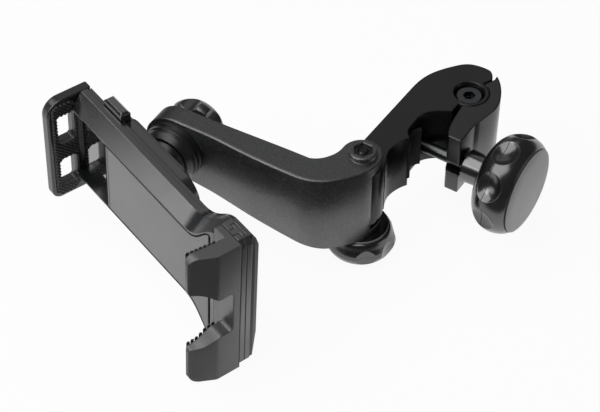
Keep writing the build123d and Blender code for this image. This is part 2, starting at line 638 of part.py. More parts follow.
# Cradle: rear shell and front frame share one outline, set in for the rear shell.
end_in = 3.0
with BuildPart() as rear_shell:
    with BuildSketch(cradle.offset(side_n)):
        with BuildLine():
            Line((shell_u, 0), (shell_u, half_v - 0.6))
            Line((shell_u, half_v - 0.6), (flare_u, half_v - 0.6))
            Spline((flare_u, half_v - 0.6), (flare_u + 13, half_v + 4.4), (hook_u, end_v - 0.6),
                   tangents=[(1, 0), (1, 0.3)])
            Polyline((hook_u, end_v - 0.6), (end_u - end_in, end_v - 0.6), (end_u - 0.5, end_v - end_in),
                     (end_u - 0.5, 0), (shell_u, 0))
        make_face()
        mirror(about=Plane.XZ)
    extrude(amount=split_n - side_n)
    with BuildSketch(cradle.offset(side_n)):
        with BuildLine():
            Line((shell_u, 0), (shell_u, half_v - 0.6))
            Line((shell_u, half_v - 0.6), (flare_u, half_v - 0.6))
            Spline((flare_u, half_v - 0.6), (flare_u + 13, half_v + 4.4), (hook_u, end_v - 0.6),
                   tangents=[(1, 0), (1, 0.3)])
            Polyline((hook_u, end_v - 0.6), (end_u - end_in, end_v - 0.6), (end_u - 0.5, end_v - end_in),
                     (end_u - 0.5, 0), (shell_u, 0))
        make_face()
        mirror(about=Plane.XZ)
    with BuildSketch(cradle.offset(back_n)):
        with BuildLine():
            Line((shell_u + 6, 0), (shell_u + 6, half_v - slope_v))
            Line((shell_u + 6, half_v - slope_v), (flare_u, half_v - slope_v))
            Spline((flare_u, half_v - slope_v), (flare_u + 13, half_v - slope_v + 4.4), (hook_u, end_v - slope_v),
                   tangents=[(1, 0), (1, 0.3)])
            Polyline((hook_u, end_v - slope_v), (end_u - 7, end_v - slope_v), (end_u - 5, end_v - slope_v - 2),
                     (end_u - 5, 0), (shell_u + 6, 0))
        make_face()
        mirror(about=Plane.XZ)
    loft(ruled=True)
    # stepped boss round the swivel, with the foot's round pocket
    for inset, deep in ((0, hub_n), (hub_step, hub_n - hub_lip)):
        with BuildSketch(cradle.offset(deep)):
            with Locations(((hub_u0 + hub_u1) / 2, 0)):
                RectangleRounded(hub_u1 - hub_u0 - 2 * inset, 2 * (hub_v - inset), hub_corner - inset)
        extrude(amount=side_n - deep)
    with BuildSketch(cradle.offset(back_n)):
        with Locations(((hub_u0 + hub_u1) / 2 + 1, 0)):
            RectangleRounded(hub_u1 - hub_u0 + 2 * hub_step + 6, 2 * (hub_v + ledge_v), hub_corner + 2)
    extrude(amount=side_n - back_n)
    with BuildSketch(cradle.offset(hub_n - hub_lip - 1)):
        Circle(swivel_r + swivel_gap)
    extrude(amount=back_n - hub_n + hub_lip + 1, mode=Mode.SUBTRACT)
    # thin part behind the sliding jaw's end of the frame
    with BuildSketch(cradle.offset(side_n)):
        with Locations(((left_u + shell_u) / 2 + 1, 0)):
            Rectangle(shell_u - left_u + 1, 2 * (half_v - 0.6))
    extrude(amount=split_n - side_n)
    # well of the release button
    with BuildSketch(cradle.offset(button_n0 - button_gap)):
        with Locations(((button_u0 + button_u1) / 2, half_v)):
            Rectangle(button_u1 - button_u0 + 2 * button_gap, 2 * (button_root + button_travel))
    extrude(amount=button_n1 - button_n0 + 2 * button_gap, mode=Mode.SUBTRACT)
rear_shell.part.label = "rear_shell"

with BuildPart() as cradle_frame:
    with BuildSketch(cradle.offset(split_n)):
        with BuildLine():
            Polyline((left_u, 0), (left_u, half_v), (flare_u, half_v))
            Spline((flare_u, half_v), (flare_u + 13, half_v + 4.6), (hook_u, end_v), tangents=[(1, 0), (1, 0.3)])
            Polyline((hook_u, end_v), (end_u - end_in, end_v), (end_u, end_v - end_in), (end_u, 0), (left_u, 0))
        make_face()
        mirror(about=Plane.XZ)
    extrude(amount=edge_n - split_n)
    with BuildSketch(cradle.offset(edge_n)):
        with BuildLine():
            Polyline((left_u, 0), (left_u, half_v), (flare_u, half_v))
            Spline((flare_u, half_v), (flare_u + 13, half_v + 4.6), (hook_u, end_v), tangents=[(1, 0), (1, 0.3)])
            Polyline((hook_u, end_v), (end_u - end_in, end_v), (end_u, end_v - end_in), (end_u, 0), (left_u, 0))
        make_face()
        mirror(about=Plane.XZ)
    with BuildSketch(cradle.offset(front_n)):
        with BuildLine():
            Polyline((left_u, 0), (left_u, shoulder_v), (flare_u, shoulder_v))
            Spline((flare_u, shoulder_v), (flare_u + 13, shoulder_v + 6.2), (hook_u, end_v - 4.0),
                   tangents=[(1, 0), (1, 0.5)])
            Polyline((hook_u, end_v - 4.0), (end_u - end_in, end_v - 4.0), (end_u - 1, end_v - 6.0),
                     (end_u - 1, 0), (left_u, 0))
        make_face()
        mirror(about=Plane.XZ)
    loft(ruled=True)
    # end strip under the hook piece
    with BuildSketch(cradle.offset(edge_n)):
        with BuildLine():
            Polyline((hook_u, 0), (hook_u, end_v), (end_u - end_in, end_v), (end_u, end_v - end_in), (end_u, 0),
                     (hook_u, 0))
        make_face()
        mirror(about=Plane.XZ)
    extrude(amount=hook_base_n - edge_n)
    with BuildSketch(cradle.offset(hook_base_n)):
        with Locations((hook_u + 20, 0)):
            Rectangle(40, 3 * end_v)
    extrude(amount=20, mode=Mode.SUBTRACT)
    # channel of the sliding jaw's tongue, roofed under the panel and open to its left
    with BuildSketch(cradle.offset(tongue_n - tongue_thick - tongue_gap)):
        with Locations(((left_u - 5 + channel_end_u) / 2, 0)):
            Rectangle(channel_end_u - left_u + 5, 2 * (tongue_v + tongue_gap))
    extrude(amount=tongue_thick + 2 * tongue_gap, mode=Mode.SUBTRACT)
    with BuildSketch(cradle.offset(tongue_n)):
        with Locations(((left_u - 5 + panel_u) / 2, 0)):
            Rectangle(panel_u - left_u + 5, 2 * (tongue_v + tongue_gap))
    extrude(amount=20, mode=Mode.SUBTRACT)
    # recess of the soft panel
    with BuildSketch(cradle.offset(front_n - panel_thick)):
        with BuildLine():
            Polyline((panel_u - panel_gap, 0), (panel_u - panel_gap, panel_v + panel_gap),
                     (flare_u + 2, panel_v + panel_gap))
            Spline((flare_u + 2, panel_v + panel_gap), (flare_u + 11.8 - panel_gap, panel_v + 4.3 + panel_gap),
                   (flare_u + 17.1 - panel_gap, panel_v + 10.4 + panel_gap), (panel_end_u, panel_end_v + panel_gap),
                   tangents=[(1, 0), (1, 0.3)])
            Polyline((panel_end_u, panel_end_v + panel_gap), (panel_end_u, 0), (panel_u - panel_gap, 0))
        make_face()
        mirror(about=Plane.XZ)
    extrude(amount=20, mode=Mode.SUBTRACT)
    # slots of the hook piece's T tabs, in both long edges
    for side in (1, -1):
        with BuildSketch(cradle_section.offset(-side * (end_v + 1))):
            with Locations((tab_u, (tab_head_n0 + tab_head_n1) / 2)):
                Rectangle(tab_head + 2 * tab_gap, tab_head_n1 - tab_head_n0 + 2 * tab_gap)
            with Locations((tab_u, (tab_head_n1 + hook_base_n) / 2)):
                Rectangle(tab_neck + 2 * tab_gap, hook_base_n - tab_head_n1 + 2)
        extrude(amount=side * (tab_depth + 1), mode=Mode.SUBTRACT)
    # slot beside the panel
    with BuildSketch(cradle.offset(front_n - slot_depth)):
        with Locations((panel_end_u + slot_width / 2, 0)):
            Rectangle(slot_width, 2 * panel_end_v)
    extrude(amount=20, mode=Mode.SUBTRACT)
cradle_frame.part.label = "cradle_frame"

with BuildPart() as front_panel:
    with BuildSketch(cradle.offset(front_n - panel_thick)):
        with BuildLine():
            Polyline((panel_u, 0), (panel_u, panel_v), (flare_u + 2, panel_v))
            Spline((flare_u + 2, panel_v), (flare_u + 11.8, panel_v + 4.3), (flare_u + 17.1, panel_v + 10.4), (panel_end_u, panel_end_v),
                   tangents=[(1, 0), (1, 0.3)])
            Polyline((panel_end_u, panel_end_v), (panel_end_u, 0), (panel_u, 0))
        make_face()
        mirror(about=Plane.XZ)
    extrude(amount=panel_thick)
front_panel.part.label = "front_panel"

# Fixed jaw: a low plate, an end wall and two hooks with a gap between them.
with BuildPart() as fixed_jaw:
    with BuildSketch(cradle_section) as hook_profile:
        with BuildLine():
            Polyline((hook_u + hook_seam, hook_base_n), (end_u, hook_base_n), (end_u, hook_knee_n),
                     (end_u - hook_lean, hook_tip_n - 1), (end_u - hook_lean - 1, hook_tip_n),
                     (wall_u - hook_inner_lean + 0.8, hook_tip_n), (wall_u - hook_inner_lean, hook_tip_n - 1),
                     (wall_u, inner_knee_n), (wall_u, front_n), (hook_u + hook_seam, front_n), close=True)
        make_face()
        fillet(hook_profile.vertices().sort_by_distance((end_u, hook_knee_n))[0], knee_round)
    extrude(amount=end_v, both=True)
    # side outline of the hooks and the gap between them
    with BuildSketch(cradle_end.offset(hook_u - 1)):
        with BuildLine():
            Line((0, hook_base_n - 1), (end_v, hook_base_n - 1))
            Line((end_v, hook_base_n - 1), (end_v, hook_tip_n - 4.5))
            RadiusArc((end_v, hook_tip_n - 4.5), (end_v - 4.5, hook_tip_n), -4.5)
            Line((end_v - 4.5, hook_tip_n), (hook_gap_tip + 2, hook_tip_n))
            RadiusArc((hook_gap_tip + 2, hook_tip_n), (hook_gap_tip, hook_tip_n - 2), -2)
            Spline((hook_gap_tip, hook_tip_n - 2), (hook_gap_tip - 2.4, 42.5), (hook_gap_wall, 37.5),
                   (hook_gap_wall, 33.0), tangents=[(-0.1, -1), (0, -1)])
            RadiusArc((hook_gap_wall, 33.0), (hook_gap_wall - 2.25, front_n), 2.25)
            Line((hook_gap_wall - 2.25, front_n), (0, front_n))
            Line((0, front_n), (0, hook_base_n - 1))
        make_face()
        mirror(about=Plane.YZ)
    extrude(amount=end_u - hook_u + 2, mode=Mode.INTERSECT)
    for side in (1, -1):
        with BuildSketch(cradle_section.offset(-side * end_v)):
            with Locations((tab_u, (tab_head_n0 + tab_head_n1) / 2)):
                Rectangle(tab_head, tab_head_n1 - tab_head_n0)
            with Locations((tab_u, (tab_head_n1 + hook_base_n) / 2)):
                Rectangle(tab_neck, hook_base_n - tab_head_n1 + 0.2)
        extrude(amount=side * (tab_depth - tab_gap))
fixed_jaw.part.label = "fixed_jaw"

with BuildPart() as hook_pads:
    with BuildSketch(cradle_section):
        with BuildLine():
            Polyline((wall_u, front_n + 2.6), (wall_u, inner_knee_n), (wall_u - hook_inner_lean, hook_tip_n - 1),
                     (wall_u - hook_inner_lean - hook_pad_thick, hook_tip_n - 1.6),
                     (wall_u - hook_pad_thick, inner_knee_n - 0.4), (wall_u - hook_pad_thick, front_n + 3), close=True)
        make_face()
    extrude(amount=end_v - 3, both=True)
    with BuildSketch(cradle_end.offset(hook_u)):
        Rectangle(2 * (hook_gap_tip + 1.6), 160)
    extrude(amount=20, mode=Mode.SUBTRACT)
hook_pads.part.label = "hook_pads"

# Sliding jaw: a dished shell with two windows, on a flat tongue.
jaw_mid_v = (jaw_top_v - jaw_low_v) / 2
jaw_wide = jaw_top_v + jaw_low_v
jaw_deep = jaw_front_n - jaw_back_n
grip_n0 = tongue_n + 1.6
grip_n1 = jaw_front_n - grip_rim
with BuildPart() as sliding_jaw:
    with BuildSketch(cradle_end.offset(jaw_u)) as jaw_face:
        with Locations((jaw_mid_v, (jaw_back_n + jaw_front_n) / 2)):
            Rectangle(jaw_wide, jaw_deep)
        fillet(jaw_face.vertices().group_by(Axis.Y)[-1].sort_by(Axis.X)[-1], jaw_corner)
        fillet(jaw_face.vertices().group_by(Axis.Y)[-1].sort_by(Axis.X)[0], jaw_low_corner)
    extrude(amount=-jaw_thick)
    along = Axis(ball_centre, u_dir)
    fillet(sliding_jaw.faces().sort_by(along)[0].edges(), jaw_back_round)
    fillet(sliding_jaw.faces().sort_by(along)[-1].edges(), jaw_rim_round)
    # pocket for the grip pad
    with BuildSketch(cradle_end.offset(jaw_u)):
        with Locations((jaw_mid_v, (grip_n0 + grip_n1) / 2)):
            RectangleRounded(jaw_wide - 2 * grip_rim, grip_n1 - grip_n0, 4.0)
    extrude(amount=-grip_depth, mode=Mode.SUBTRACT)
    with BuildSketch(cradle_end.offset(jaw_u + 1)):
        with Locations((window_mid_v - window_v, window_n), (window_mid_v + window_v, window_n)):
            RectangleRounded(window_width, window_height, window_corner)
    extrude(amount=-jaw_thick - 2, mode=Mode.SUBTRACT)
    # tongue that slides in the frame's channel
    with BuildSketch(cradle.offset(tongue_n - tongue_thick)):
        with Locations(((jaw_u - 0.5 + tongue_end_u) / 2, 0)):
            Rectangle(tongue_end_u - jaw_u + 0.5, 2 * tongue_v)
    extrude(amount=tongue_thick)
sliding_jaw.part.label = "sliding_jaw"

with BuildPart() as jaw_grip:
    with BuildSketch(cradle_end.offset(jaw_u - grip_depth)):
        with Locations((jaw_mid_v, (grip_n0 + grip_n1) / 2)):
            RectangleRounded(jaw_wide - 2 * (grip_rim + grip_gap), grip_n1 - grip_n0 - 2 * grip_gap, 3.9)
        with Locations((window_mid_v - window_v, window_n), (window_mid_v + window_v, window_n)):
            RectangleRounded(window_width, window_height, window_corner, mode=Mode.SUBTRACT)
    extrude(amount=grip_depth + grip_proud)
jaw_grip.part.label = "jaw_grip"

with BuildPart() as release_button:
    with BuildSketch(cradle.offset(button_n0)):
        with Locations(((button_u0 + button_u1) / 2, half_v + (button_rise - button_root) / 2)):
            Rectangle(button_u1 - button_u0, button_rise + button_root)
    extrude(amount=button_n1 - button_n0)
    chamfer(release_button.faces().sort_by(Axis(ball_centre, v_dir))[-1].edges(), button_bevel)
release_button.part.label = "release_button"

pieces = [clamp_body, post_liner, clamp_stud, jaw_hinge_screw, jaw_hinge_nut, clamp_jaw,
          thrust_sleeve, clamp_knob, clamp_knob_cap, clamp_knob_insert, arm, hinge_nut, hinge_bolt,
          hinge_spacer, hinge_knob, hinge_knob_insert, lock_knob, lock_knob_insert, lock_bolt, brake_pad,
          socket_collar, socket_ring, ball, ball_neck, rear_shell, cradle_frame, front_panel, fixed_jaw,
          hook_pads, sliding_jaw, jaw_grip, release_button]
for piece in pieces:
    export_step(piece.part, "parts/" + piece.part.label + ".step")
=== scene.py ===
import bpy, bmesh
from mathutils import Vector, Matrix
from mathutils.bvhtree import BVHTree


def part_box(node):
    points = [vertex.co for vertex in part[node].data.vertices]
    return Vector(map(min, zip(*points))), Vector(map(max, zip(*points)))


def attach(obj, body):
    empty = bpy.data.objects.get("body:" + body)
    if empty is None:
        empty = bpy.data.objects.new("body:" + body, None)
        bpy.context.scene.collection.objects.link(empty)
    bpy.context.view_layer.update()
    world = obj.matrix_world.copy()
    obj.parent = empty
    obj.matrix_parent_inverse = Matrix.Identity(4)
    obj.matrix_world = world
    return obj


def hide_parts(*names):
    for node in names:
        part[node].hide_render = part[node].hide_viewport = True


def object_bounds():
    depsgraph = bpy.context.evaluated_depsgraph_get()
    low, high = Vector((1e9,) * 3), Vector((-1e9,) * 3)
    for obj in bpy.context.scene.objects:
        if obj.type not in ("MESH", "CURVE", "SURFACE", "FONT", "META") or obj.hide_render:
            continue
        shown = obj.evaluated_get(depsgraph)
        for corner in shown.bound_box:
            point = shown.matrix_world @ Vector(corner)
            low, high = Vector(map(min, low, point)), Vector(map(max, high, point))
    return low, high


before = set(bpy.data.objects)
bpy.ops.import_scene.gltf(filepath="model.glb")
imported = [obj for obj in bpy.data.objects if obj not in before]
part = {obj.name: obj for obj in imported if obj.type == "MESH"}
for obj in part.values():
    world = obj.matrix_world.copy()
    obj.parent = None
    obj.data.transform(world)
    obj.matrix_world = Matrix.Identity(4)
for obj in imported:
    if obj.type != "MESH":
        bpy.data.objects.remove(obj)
cad_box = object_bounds()

# Studio: a pale floor with white all round it, and the camera at the photograph's angle. Soft lamps
# stand on the cradle's side, in front of the clamp's knob, behind and above. Glossy pieces see the
# floor fade to dark in front of the cradle.
scene = bpy.context.scene
scene.view_settings.view_transform = "Standard"
sight = Vector((0.586, 0.385, -0.713)).normalized()
right = Vector((0.549, -0.836, 0)).normalized()
lens = bpy.data.cameras.new("camera")
lens.lens, lens.sensor_width = 108, 36              # millimetres
lens.clip_start, lens.clip_end = 0.01, 20
camera = bpy.data.objects.new("camera", lens)
camera.matrix_world = Matrix((right, right.cross(sight), -sight)).transposed().to_4x4()
camera.location = (-0.5451, -0.2886, 0.5911)
scene.collection.objects.link(camera)
scene.camera = camera

world = bpy.data.worlds.new("studio")
scene.world = world
world.use_nodes = True
sky = world.node_tree
sky.nodes.clear()
air = sky.nodes.new("ShaderNodeBackground")
backdrop = sky.nodes.new("ShaderNodeBackground")
rays = sky.nodes.new("ShaderNodeLightPath")
either = sky.nodes.new("ShaderNodeMath")
choose = sky.nodes.new("ShaderNodeMixShader")
sky_out = sky.nodes.new("ShaderNodeOutputWorld")
air.inputs["Color"].default_value = (0.07, 0.071, 0.073, 1)
backdrop.inputs["Color"].default_value = (1, 1, 1, 1)
either.operation = "MAXIMUM"
sky.links.new(rays.outputs["Is Camera Ray"], either.inputs[0])
sky.links.new(rays.outputs["Is Transmission Ray"], either.inputs[1])
sky.links.new(either.outputs[0], choose.inputs[0])
sky.links.new(air.outputs[0], choose.inputs[1])
sky.links.new(backdrop.outputs[0], choose.inputs[2])
sky.links.new(choose.outputs[0], sky_out.inputs[0])

floor_z, reach_out = cad_box[0][2], 8
mirrored_near, mirrored_far, mirrored_dark = 0.084, 0.122, 0.10      # where glossy rays see it fade
sheet = bpy.data.meshes.new("floor")
sheet.from_pydata([(reach_out * x, reach_out * y, floor_z) for x, y in ((-1, -1), (1, -1), (1, 1), (-1, 1))],
                  [], [(0, 1, 2, 3)])
floor = bpy.data.objects.new("floor", sheet)
scene.collection.objects.link(floor)
pale = bpy.data.materials.new("pale floor")
pale.use_nodes = True
tree = pale.node_tree
tree.nodes.clear()
matt = tree.nodes.new("ShaderNodeBsdfDiffuse")
matt.inputs["Color"].default_value = (0.9, 0.9, 0.9, 1)
glow = tree.nodes.new("ShaderNodeEmission")
glow.inputs["Color"].default_value = (1, 1, 1, 1)
paths = tree.nodes.new("ShaderNodeLightPath")
share = tree.nodes.new("ShaderNodeMath")
share.operation = "MULTIPLY"
share.inputs[1].default_value = 0.94
spread = tree.nodes.new("ShaderNodeTexCoord")
away = tree.nodes.new("ShaderNodeVectorMath")
away.operation = "DOT_PRODUCT"
away.inputs[1].default_value = (-0.836, -0.549, 0)
fade = tree.nodes.new("ShaderNodeMapRange")
fade.interpolation_type = "SMOOTHSTEP"
fade.inputs["From Min"].default_value = mirrored_near
fade.inputs["From Max"].default_value = mirrored_far
fade.inputs["To Min"].default_value = 1.0
fade.inputs["To Max"].default_value = mirrored_dark
mirrored = tree.nodes.new("ShaderNodeMix")
mirrored.data_type = "FLOAT"
mirrored.inputs["A"].default_value = 1
either = tree.nodes.new("ShaderNodeMath")
either.operation = "MAXIMUM"
blend = tree.nodes.new("ShaderNodeMixShader")
shown = tree.nodes.new("ShaderNodeOutputMaterial")
tree.links.new(spread.outputs["Object"], away.inputs[0])
tree.links.new(away.outputs["Value"], fade.inputs["Value"])
tree.links.new(paths.outputs["Is Glossy Ray"], mirrored.inputs["Factor"])
tree.links.new(fade.outputs["Result"], mirrored.inputs["B"])
tree.links.new(mirrored.outputs["Result"], glow.inputs["Strength"])
tree.links.new(paths.outputs["Is Camera Ray"], share.inputs[0])
tree.links.new(share.outputs[0], either.inputs[0])
tree.links.new(paths.outputs["Is Glossy Ray"], either.inputs[1])
tree.links.new(either.outputs[0], blend.inputs[0])
tree.links.new(matt.outputs[0], blend.inputs[1])
tree.links.new(glow.outputs[0], blend.inputs[2])
tree.links.new(blend.outputs[0], shown.inputs[0])
floor.data.materials.append(pale)


def softbox(name, place, aim, width, height, watts):
    """A soft lamp of a size in metres, at a place and turned to its aim."""
    lamp = bpy.data.lights.new(name, "AREA")
    lamp.shape, lamp.size, lamp.size_y, lamp.energy = "RECTANGLE", width, height, watts
    box = bpy.data.objects.new(name, lamp)
    box.location = place
    box.rotation_euler = (Vector(aim) - Vector(place)).to_track_quat("-Z", "Y").to_euler()
    scene.collection.objects.link(box)


softbox("side light", (-0.903, 0.816, 0.38), (-0.05, 0.03, 0), 0.6, 0.5, 1.7)
softbox("high light", (-0.83, 0.46, 0.67), (-0.03, 0.03, 0), 0.4, 0.4, 1.8)
softbox("knob light", (0.35, -1.2, 0.22), (0, 0, 0), 0.7, 0.5, 1.2)
softbox("back light", (1.15, 0.76, 1.4), (0, 0, 0), 1.3, 1.3, 1.8)
softbox("top light", (-0.5, 0.5, 1.4), (0, 0, 0), 1.6, 1.6, 20)

# Clamp body: one thick moulding in black nylon with a faint orange peel and slightly rounded
# edges. Its finish is the first of the moulded finishes.


def new_group(name, ins, outs):
    group = bpy.data.node_groups.new(name, "ShaderNodeTree")
    for label, kind, value in ins:
        socket = group.interface.new_socket(label, in_out="INPUT", socket_type=kind)
        socket.default_value = value
    for label, kind in outs:
        group.interface.new_socket(label, in_out="OUTPUT", socket_type=kind)
    return group, group.nodes.new("NodeGroupInput"), group.nodes.new("NodeGroupOutput")


number, direction = "NodeSocketFloat", "NodeSocketVector"

# moulded grain: pitted skin of a spark-eroded tool, with a slower waviness under it
grain, g_in, g_out = new_group("moulded grain", [("Size", number, 0.0005), ("Wave", number, 0.004)],
                               [("Height", number), ("Fleck", number)])
place = grain.nodes.new("ShaderNodeTexCoord")
inverse = grain.nodes.new("ShaderNodeMath")
inverse.operation = "DIVIDE"
inverse.inputs[0].default_value = 1
fine = grain.nodes.new("ShaderNodeTexNoise")
fine.inputs["Detail"].default_value = 2.0
fine.inputs["Roughness"].default_value = 0.6
inverse2 = grain.nodes.new("ShaderNodeMath")
inverse2.operation = "DIVIDE"
inverse2.inputs[0].default_value = 1
slow = grain.nodes.new("ShaderNodeTexNoise")
slow.inputs["Detail"].default_value = 1.0
add = grain.nodes.new("ShaderNodeMath")
add.operation = "ADD"
fleck = grain.nodes.new("ShaderNodeMapRange")
fleck.inputs["From Min"].default_value = 0.56
fleck.inputs["From Max"].default_value = 0.74
grain.links.new(g_in.outputs["Size"], inverse.inputs[1])
grain.links.new(g_in.outputs["Wave"], inverse2.inputs[1])
grain.links.new(place.outputs["Object"], fine.inputs["Vector"])
grain.links.new(place.outputs["Object"], slow.inputs["Vector"])
grain.links.new(inverse.outputs[0], fine.inputs["Scale"])
grain.links.new(inverse2.outputs[0], slow.inputs["Scale"])
grain.links.new(fine.outputs["Fac"], add.inputs[0])
grain.links.new(slow.outputs["Fac"], add.inputs[1])
grain.links.new(add.outputs[0], g_out.inputs["Height"])
grain.links.new(fine.outputs["Fac"], fleck.inputs["Value"])
grain.links.new(fleck.outputs["Result"], g_out.inputs["Fleck"])

# eased edge: the small radius that every moulded edge has, and a mask of where it is
eased, e_in, e_out = new_group("eased edge", [("Radius", number, 0.0004)],
                               [("Normal", direction), ("Edge", number)])
round_off = eased.nodes.new("ShaderNodeBevel")
round_off.samples = 6
geo = eased.nodes.new("ShaderNodeNewGeometry")
facing = eased.nodes.new("ShaderNodeVectorMath")
facing.operation = "DOT_PRODUCT"
edge = eased.nodes.new("ShaderNodeMapRange")
edge.inputs["From Min"].default_value = 0.995
edge.inputs["From Max"].default_value = 0.80
eased.links.new(e_in.outputs["Radius"], round_off.inputs["Radius"])
eased.links.new(round_off.outputs[0], facing.inputs[0])
eased.links.new(geo.outputs["True Normal"], facing.inputs[1])
eased.links.new(facing.outputs["Value"], edge.inputs["Value"])
eased.links.new(round_off.outputs[0], e_out.inputs["Normal"])
eased.links.new(edge.outputs["Result"], e_out.inputs["Edge"])

# handling: broad, faint patches of skin grease and fine dust
handled, h_in, h_out = new_group("handling", [("Size", number, 0.02)], [("Patch", number), ("Dust", number)])
spot = handled.nodes.new("ShaderNodeTexCoord")
per = handled.nodes.new("ShaderNodeMath")
per.operation = "DIVIDE"
per.inputs[0].default_value = 1
cloud = handled.nodes.new("ShaderNodeTexNoise")
cloud.inputs["Detail"].default_value = 4.0
speck = handled.nodes.new("ShaderNodeTexVoronoi")
speck.inputs["Scale"].default_value = 260
tiny = handled.nodes.new("ShaderNodeMapRange")
tiny.inputs["From Min"].default_value = 0.09
tiny.inputs["From Max"].default_value = 0.03
handled.links.new(h_in.outputs["Size"], per.inputs[1])
handled.links.new(spot.outputs["Object"], cloud.inputs["Vector"])
handled.links.new(per.outputs[0], cloud.inputs["Scale"])
handled.links.new(spot.outputs["Object"], speck.inputs["Vector"])
handled.links.new(speck.outputs["Distance"], tiny.inputs["Value"])
handled.links.new(cloud.outputs["Fac"], h_out.inputs["Patch"])
handled.links.new(tiny.outputs["Result"], h_out.inputs["Dust"])

# bowed side: upright walls belly out a little, so they meet the light at a changing angle
bowed, b_in, b_out = new_group("bowed side", [("Bow", number, 4.0), ("Middle", number, 0.0)],
                               [("Height", number)])
height_at = bowed.nodes.new("ShaderNodeTexCoord")
pick = bowed.nodes.new("ShaderNodeSeparateXYZ")
from_mid = bowed.nodes.new("ShaderNodeMath")
from_mid.operation = "SUBTRACT"
square = bowed.nodes.new("ShaderNodeMath")
square.operation = "MULTIPLY"
fall = bowed.nodes.new("ShaderNodeMath")
fall.operation = "MULTIPLY"
under = bowed.nodes.new("ShaderNodeMath")
under.operation = "MULTIPLY"
under.inputs[1].default_value = -0.5
bowed.links.new(height_at.outputs["Object"], pick.inputs[0])
bowed.links.new(pick.outputs["Z"], from_mid.inputs[0])
bowed.links.new(b_in.outputs["Middle"], from_mid.inputs[1])
bowed.links.new(from_mid.outputs[0], square.inputs[0])
bowed.links.new(from_mid.outputs[0], square.inputs[1])
bowed.links.new(square.outputs[0], fall.inputs[0])
bowed.links.new(b_in.outputs["Bow"], fall.inputs[1])
bowed.links.new(fall.outputs[0], under.inputs[0])
bowed.links.new(under.outputs[0], b_out.inputs["Height"])

# seam line: a fine groove where the surface crosses one plane; the mouldings paint its line near black, as
# painted shade in the groove
seam, s_in, s_out = new_group("seam line",
                              [("Axis", direction, (0, 0, 1)), ("At", number, 0.0), ("Width", number, 0.0003)],
                              [("Line", number), ("Beyond", number)])
seam_spot = seam.nodes.new("ShaderNodeTexCoord")
along_axis = seam.nodes.new("ShaderNodeVectorMath")
along_axis.operation = "DOT_PRODUCT"
off_plane = seam.nodes.new("ShaderNodeMath")
off_plane.operation = "SUBTRACT"
size_of = seam.nodes.new("ShaderNodeMath")
size_of.operation = "ABSOLUTE"
in_widths = seam.nodes.new("ShaderNodeMath")
in_widths.operation = "DIVIDE"
line_at = seam.nodes.new("ShaderNodeMapRange")
line_at.inputs["From Min"].default_value = 1.3
line_at.inputs["From Max"].default_value = 0.7
seam.links.new(seam_spot.outputs["Object"], along_axis.inputs[0])
seam.links.new(s_in.outputs["Axis"], along_axis.inputs[1])
seam.links.new(along_axis.outputs["Value"], off_plane.inputs[0])
seam.links.new(s_in.outputs["At"], off_plane.inputs[1])
seam.links.new(off_plane.outputs[0], size_of.inputs[0])
seam.links.new(size_of.outputs[0], in_widths.inputs[0])
seam.links.new(s_in.outputs["Width"], in_widths.inputs[1])
seam.links.new(in_widths.outputs[0], line_at.inputs["Value"])
past = seam.nodes.new("ShaderNodeMath")
past.operation = "GREATER_THAN"
past.inputs[1].default_value = 0
seam.links.new(off_plane.outputs[0], past.inputs[0])
seam.links.new(past.outputs[0], s_out.inputs["Beyond"])
seam.links.new(line_at.outputs["Result"], s_out.inputs["Line"])


